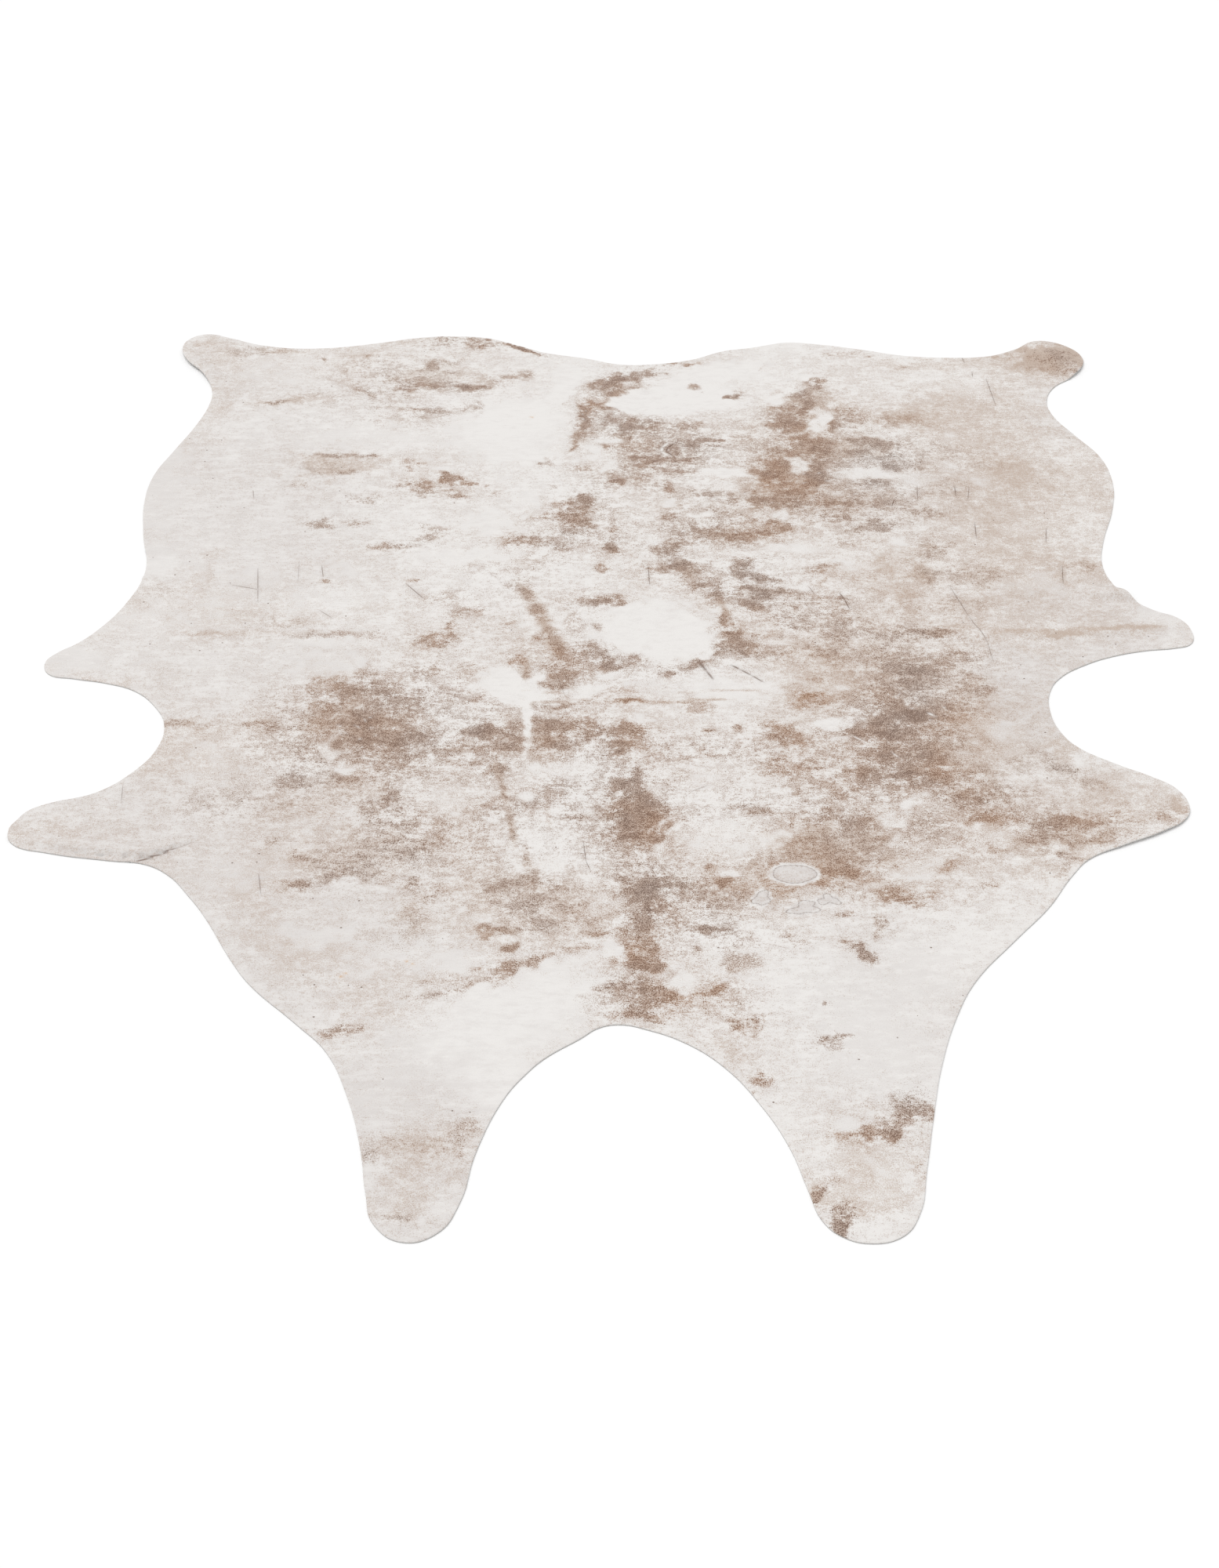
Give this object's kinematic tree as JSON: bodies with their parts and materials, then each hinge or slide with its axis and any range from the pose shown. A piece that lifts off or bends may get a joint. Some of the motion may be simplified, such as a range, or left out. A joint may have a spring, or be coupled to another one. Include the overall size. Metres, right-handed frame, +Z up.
{
  "type": "cowhide rug",
  "caption": "Flat hide-shaped floor rug in one sheet of short-napped cloth, printed in off-white and brown, with slightly curled edges.",
  "frame": {"origin": "on the floor, under the middle of the rug's bounding box", "axes": "+Z up, +Y along the length towards the neck end, +X to the right for someone at the hind legs who looks along +Y"},
  "size_m": [1.8878, 2.449, 0.0135],
  "materials": {
    "printed_nap": "short dull nap, off-white with a speckled brown brindle print, pale grey suede-like back"
  },
  "bodies": {
    "root": {"hide": "printed_nap"}
  },
  "joints": []
}
